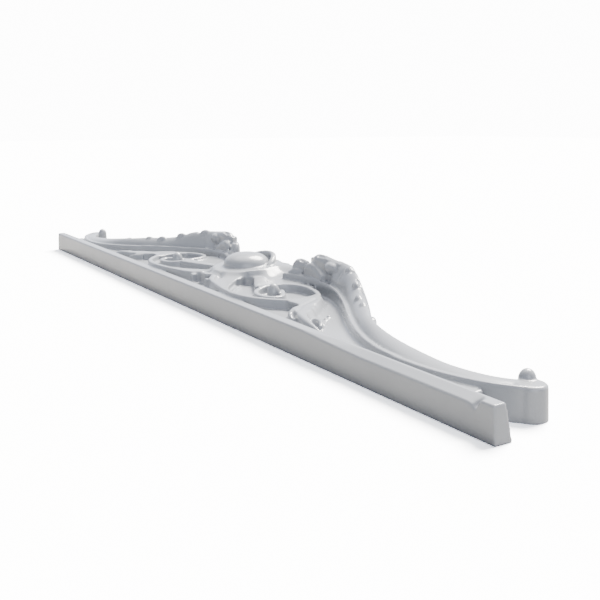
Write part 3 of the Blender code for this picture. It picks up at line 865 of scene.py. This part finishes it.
@dataclass
class Carving:
    """The gouge strokes that sharpen the cast skin, cut on both halves."""

    strokes: tuple[Stroke, ...] = (
        Stroke(((84.0, 42.6), (90.0, 39.6), (96.0, 36.4), (104.0, 32.0), (112.0, 27.4),
                (120.0, 22.4)), 0.55, 0.8),
        Stroke(((28.0, 41.3), (35.0, 43.4), (44.0, 45.1), (53.0, 45.1), (62.0, 43.9), (68.0, 42.2),
                (76.0, 38.9), (90.0, 31.6), (105.0, 23.0)), 0.6, -0.45),
        Stroke(((65.6, 46.6), (66.6, 46.9)), 1.1, 1.4),
        Stroke(((75.4, 46.4), (76.4, 46.6)), 1.0, 1.2),
        Stroke(((45.6, 49.0), (49.4, 49.6)), 0.8, 1.0),
        Stroke(((40.6, 48.4), (36.6, 48.0), (33.0, 47.4)), 0.6, 0.9),
        Stroke(((86.0, 10.5), (88.4, 9.4)), 0.8, 1.6),
        Stroke(((99.6, 11.2), (102.4, 10.6)), 0.8, 1.2),
        Stroke(((5.6, 19.0), (7.2, 17.6)), 1.5, 1.1),
        Stroke(((73.8, 28.6), (76.8, 24.0), (80.0, 18.0), (86.0, 12.8)), 0.9, 0.4),
        Stroke(((77.8, 30.0), (84.6, 24.6), (91.0, 17.6)), 0.7, 0.4),
    )

    def cut(self, piece: bpy.types.Object, y_shift: float) -> None:
        """Press every stroke into the upward-facing skin of a piece.

        Args:
            piece: The cast piece, in metres.
            y_shift: Where the design's Y = 0 lies in the frame, in millimetres.
        """
        mesh = piece.data
        count = len(mesh.vertices)
        places = np.empty(count * 3, dtype=np.float32)
        normals = np.empty(count * 3, dtype=np.float32)
        mesh.vertices.foreach_get("co", places)
        mesh.vertices.foreach_get("normal", normals)
        places = places.reshape(-1, 3)
        facing = np.clip(normals.reshape(-1, 3)[:, 2], 0.0, 1.0)
        x = np.abs(places[:, 0]) / MM
        y = places[:, 1] / MM - y_shift
        for stroke in self.strokes:
            nearest = np.full(count, np.inf)
            for (ax, ay), (bx, by) in zip(stroke.line, stroke.line[1:]):
                dx, dy = bx - ax, by - ay
                along = np.clip(((x - ax) * dx + (y - ay) * dy) / (dx * dx + dy * dy), 0.0, 1.0)
                nearest = np.minimum(nearest, np.hypot(x - ax - along * dx, y - ay - along * dy))
            places[:, 2] -= stroke.depth * MM * facing * np.exp(-(nearest / stroke.width) ** 2)
        mesh.vertices.foreach_set("co", places.ravel())
        mesh.update()


@dataclass
class Casting:
    """Joins all the forms into one cast skin with soft fillets."""

    voxel: float = 0.45
    quick_voxel: float = 0.6
    smooth_factor: float = 0.5
    smooth_rounds: int = 2
    triangle_limit: int = 190_000
    y_shift: float = 0.0

    def evaluated(self, piece: bpy.types.Object) -> bpy.types.Mesh:
        """Return a piece's mesh with its modifiers applied."""
        depsgraph = bpy.context.evaluated_depsgraph_get()
        return bpy.data.meshes.new_from_object(piece.evaluated_get(depsgraph))

    def bake(self, piece: bpy.types.Object) -> None:
        """Apply every modifier of a piece to its mesh.

        Args:
            piece: The piece, which gets a new mesh.
        """
        mesh = self.evaluated(piece)
        piece.modifiers.clear()
        old = piece.data
        piece.data = mesh
        bpy.data.meshes.remove(old)

    def cast(self, name: str, shop: Workshop) -> bpy.types.Object:
        """Turn the collected forms into one closed skin.

        Args:
            name: Name of the new object.
            shop: The forms, in millimetres.

        Returns:
            The new object, placed in the frame.
        """
        bm = shop.joined()
        bmesh.ops.translate(bm, verts=bm.verts, vec=(0.0, self.y_shift, 0.0))
        bmesh.ops.scale(bm, verts=bm.verts, vec=(MM, MM, MM))
        mesh = bpy.data.meshes.new(name)
        bm.to_mesh(mesh)
        bm.free()
        piece = bpy.data.objects.new(name, mesh)
        bpy.context.scene.collection.objects.link(piece)
        remesh = piece.modifiers.new("skin", "REMESH")
        remesh.mode = "VOXEL"
        remesh.voxel_size = self.voxel * MM
        smooth = piece.modifiers.new("soften", "SMOOTH")
        smooth.factor = self.smooth_factor
        smooth.iterations = self.smooth_rounds
        self.bake(piece)
        return piece

    def thin_out(self, piece: bpy.types.Object) -> None:
        """Bring the skin under its triangle limit, flattest places first.

        Args:
            piece: The cast piece.
        """
        count = sum(len(polygon.vertices) - 2 for polygon in piece.data.polygons)
        if count > self.triangle_limit:
            modifier = piece.modifiers.new("thin", "DECIMATE")
            modifier.ratio = self.triangle_limit / count
            self.bake(piece)

    def flat_back(self, piece: bpy.types.Object) -> None:
        """Cut everything below Z = 0 away and close the back.

        Args:
            piece: The cast piece.
        """
        bm = bmesh.new()
        bm.from_mesh(piece.data)
        geometry = bm.verts[:] + bm.edges[:] + bm.faces[:]
        cut = bmesh.ops.bisect_plane(bm, geom=geometry, plane_co=(0, 0, 0),
                                     plane_no=(0, 0, 1), clear_inner=True)
        rim = [item for item in cut["geom_cut"] if isinstance(item, bmesh.types.BMEdge)]
        bmesh.ops.holes_fill(bm, edges=rim, sides=0)
        bm.to_mesh(piece.data)
        bm.free()


def linear(code: str) -> tuple[float, float, float, float]:
    """Return the linear colour of an sRGB hex code.

    Args:
        code: Six hex digits, such as 8090a0.

    Returns:
        Linear red, green and blue, and full opacity.
    """
    values = [int(code[i:i + 2], 16) / 255 for i in (0, 2, 4)]
    turned = [v / 12.92 if v <= 0.04045 else ((v + 0.055) / 1.055) ** 2.4 for v in values]
    return (*turned, 1.0)


def add_node(material: bpy.types.Material, kind: str, **values: object) -> bpy.types.Node:
    """Add a shader node and set its inputs.

    Args:
        material: The material that takes the node.
        kind: The node's type name.
        values: Input names, with spaces as underscores, and their values.

    Returns:
        The new node.
    """
    node = material.node_tree.nodes.new(kind)
    for name, value in values.items():
        node.inputs[name.replace("_", " ")].default_value = value
    return node


@dataclass(frozen=True)
class CastPolymer:
    """Pale grey casting resin with a satin skin: faint mottling and fine pits from the mould."""

    light: str = "888b90"
    dark: str = "7e8187"
    # Satin, so that the window leaves soft bright streaks along the rims
    roughness: Plan = (0.18, 0.27)
    # Cloudy patches about 22 mm across, as in a poured resin
    mottle_size: float = 22.2222
    mottle_detail: float = 4.0
    mottle_range: Plan = (0.3, 0.7)
    # Real pits are well under a millimetre across and are drawn coarser, so that they show
    pit_size: float = 1.11111
    pit_detail: float = 2.0
    pit_depth: float = 0.04
    pit_strength: float = 0.25

    def make(self) -> bpy.types.Material:
        """Make the finish on object coordinates.

        Returns:
            The node material.
        """
        material = bpy.data.materials.new("cast_polymer")
        material.use_nodes = True
        links = material.node_tree.links
        shader = material.node_tree.nodes["Principled BSDF"]
        shader.inputs["Metallic"].default_value = 0.0
        place = add_node(material, "ShaderNodeTexCoord")
        mottle = add_node(material, "ShaderNodeTexNoise", Scale=1 / (self.mottle_size * MM),
                          Detail=self.mottle_detail)
        links.new(place.outputs["Object"], mottle.inputs["Vector"])
        tone = add_node(material, "ShaderNodeMix")
        tone.data_type = "RGBA"
        tone.inputs["A"].default_value = linear(self.light)
        tone.inputs["B"].default_value = linear(self.dark)
        links.new(mottle.outputs["Fac"], tone.inputs["Factor"])
        links.new(tone.outputs["Result"], shader.inputs["Base Color"])
        least, most = self.mottle_range
        smoothest, dullest = self.roughness
        sheen = add_node(material, "ShaderNodeMapRange", From_Min=least, From_Max=most,
                         To_Min=smoothest, To_Max=dullest)
        links.new(mottle.outputs["Fac"], sheen.inputs["Value"])
        links.new(sheen.outputs["Result"], shader.inputs["Roughness"])
        pits = add_node(material, "ShaderNodeTexNoise", Scale=1 / (self.pit_size * MM),
                        Detail=self.pit_detail)
        links.new(place.outputs["Object"], pits.inputs["Vector"])
        bump = add_node(material, "ShaderNodeBump", Strength=self.pit_strength,
                        Distance=self.pit_depth * MM)
        links.new(pits.outputs["Fac"], bump.inputs["Height"])
        links.new(bump.outputs["Normal"], shader.inputs["Normal"])
        return material


@dataclass(frozen=True)
class PaleGround:
    """Plain matt studio paper, burnt out to white in the picture but dimmer as a reflector."""

    reflector: float = 0.4
    in_picture: Spot = (2.08, 2.15, 2.26)
    roughness: float = 0.95

    def make(self) -> bpy.types.Material:
        """Make the floor's finish.

        Returns:
            The node material.
        """
        material = bpy.data.materials.new("studio_floor")
        material.use_nodes = True
        shader = material.node_tree.nodes["Principled BSDF"]
        shader.inputs["Roughness"].default_value = self.roughness
        shader.inputs["Specular IOR Level"].default_value = 0.0
        rays = add_node(material, "ShaderNodeLightPath")
        tone = add_node(material, "ShaderNodeMix")
        tone.data_type = "RGBA"
        tone.inputs["A"].default_value = (*[self.reflector] * 3, 1.0)
        tone.inputs["B"].default_value = (*self.in_picture, 1.0)
        links = material.node_tree.links
        links.new(rays.outputs["Is Camera Ray"], tone.inputs["Factor"])
        links.new(tone.outputs["Result"], shader.inputs["Base Color"])
        return material


@dataclass(frozen=True)
class Lamp:
    """One broad, soft light at a great distance. Its angle is its width in the sky, in degrees."""

    name: str
    shines_from: Spot
    strength: float
    angle: float
    tone: str


@dataclass
class Studio:
    """The floor, the soft lights and the camera."""

    # Half the floor's side, in metres
    half_floor: float = 4.0
    # Strength of the surround on matt skin, in reflections, and as the backdrop in the picture
    surround: float = 0.08
    gloss_surround: float = 2.2
    backdrop: float = 13.5
    surround_tone: str = "e4ecff"
    backdrop_tone: str = "ffffff"
    lamps: tuple[Lamp, ...] = (
        Lamp("window", (-0.25, 0.6, 0.85), 24.0, 32.0, "fffaf2"),
        Lamp("ceiling", (-0.3, 0.0, 1.0), 2.5, 50.0, "fffdfa"),
        Lamp("fill", (0.9, -0.35, 0.3), 2.6, 50.0, "f4f7ff"),
    )
    camera_place: Spot = (347.6, -150.7, 84.1)
    camera_heading: Spot = (-0.8275, 0.5193, -0.2135)
    lens: float = 48.34
    sensor: float = 36.0
    nearest_seen: float = 10.0

    def floor(self) -> None:
        """Lay the plain floor under the part."""
        bm = bmesh.new()
        bmesh.ops.create_grid(bm, x_segments=1, y_segments=1, size=self.half_floor)
        mesh = bpy.data.meshes.new("floor")
        bm.to_mesh(mesh)
        bm.free()
        mesh.materials.append(PaleGround().make())
        floor = bpy.data.objects.new("floor", mesh)
        bpy.context.scene.collection.objects.link(floor)

    def lights(self) -> None:
        """Set a pale surround, a window behind the part, a ceiling lamp and a fill in front."""
        world = bpy.data.worlds.new("studio")
        world.use_nodes = True
        nodes, links = world.node_tree.nodes, world.node_tree.links
        sky = nodes["Background"]
        rays = nodes.new("ShaderNodeLightPath")
        tone = nodes.new("ShaderNodeMix")
        tone.data_type = "RGBA"
        tone.inputs["A"].default_value = linear(self.surround_tone)
        tone.inputs["B"].default_value = linear(self.backdrop_tone)
        links.new(rays.outputs["Is Camera Ray"], tone.inputs["Factor"])
        links.new(tone.outputs["Result"], sky.inputs["Color"])
        soft = nodes.new("ShaderNodeMix")
        soft.inputs["A"].default_value = self.surround
        soft.inputs["B"].default_value = self.gloss_surround
        strength = nodes.new("ShaderNodeMix")
        strength.inputs["B"].default_value = self.backdrop
        links.new(rays.outputs["Is Glossy Ray"], soft.inputs["Factor"])
        links.new(soft.outputs["Result"], strength.inputs["A"])
        links.new(rays.outputs["Is Camera Ray"], strength.inputs["Factor"])
        links.new(strength.outputs["Result"], sky.inputs["Strength"])
        bpy.context.scene.world = world
        for lamp in self.lamps:
            sun = bpy.data.lights.new(lamp.name, "SUN")
            sun.energy = lamp.strength
            sun.color = linear(lamp.tone)[:3]
            sun.angle = math.radians(lamp.angle)
            stand = bpy.data.objects.new(lamp.name, sun)
            stand.rotation_euler = Vector(lamp.shines_from).to_track_quat("Z", "Y").to_euler()
            bpy.context.scene.collection.objects.link(stand)

    def camera(self, y_shift: float) -> None:
        """Put the camera where the photograph was taken from.

        Args:
            y_shift: Where the design's Y = 0 lies in the frame, in millimetres.
        """
        data = bpy.data.cameras.new("photo_view")
        data.lens = self.lens
        data.sensor_width = self.sensor
        data.clip_start = self.nearest_seen * MM
        camera = bpy.data.objects.new("photo_view", data)
        x, y, z = self.camera_place
        camera.location = Vector((x, y + y_shift, z)) * MM
        camera.rotation_euler = Vector(self.camera_heading).to_track_quat("-Z", "Y").to_euler()
        bpy.context.scene.collection.objects.link(camera)
        bpy.context.scene.camera = camera


def main() -> None:
    """Build the onlay, dress it, and set the studio round it."""
    logging.basicConfig(level=logging.INFO, format="%(message)s")
    low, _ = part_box(NODE)
    y_shift = low[1] / MM
    shop = Workshop()
    for section in (Field(), SwanNeck(), LeafHead(), Boss(), CScroll(), Knot(), LeafTuft(),
                    BaseStrip()):
        section.build(shop)
        LOG.info("formed %s", type(section).__name__)
    casting = Casting(y_shift=y_shift)
    piece = casting.cast("scroll_onlay_casting", shop)
    Carving().cut(piece, y_shift)
    casting.flat_back(piece)
    casting.thin_out(piece)
    piece.data.materials.clear()
    piece.data.materials.append(CastPolymer().make())
    piece.data.shade_smooth()
    piece.data.set_sharp_from_angle(angle=math.radians(SHARP_ANGLE))
    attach(piece, BODY)
    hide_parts(NODE)
    LOG.info("cast %s with %d faces", piece.name, len(piece.data.polygons))
    studio = Studio()
    studio.floor()
    studio.lights()
    studio.camera(y_shift)


if __name__ == "__main__":
    main()
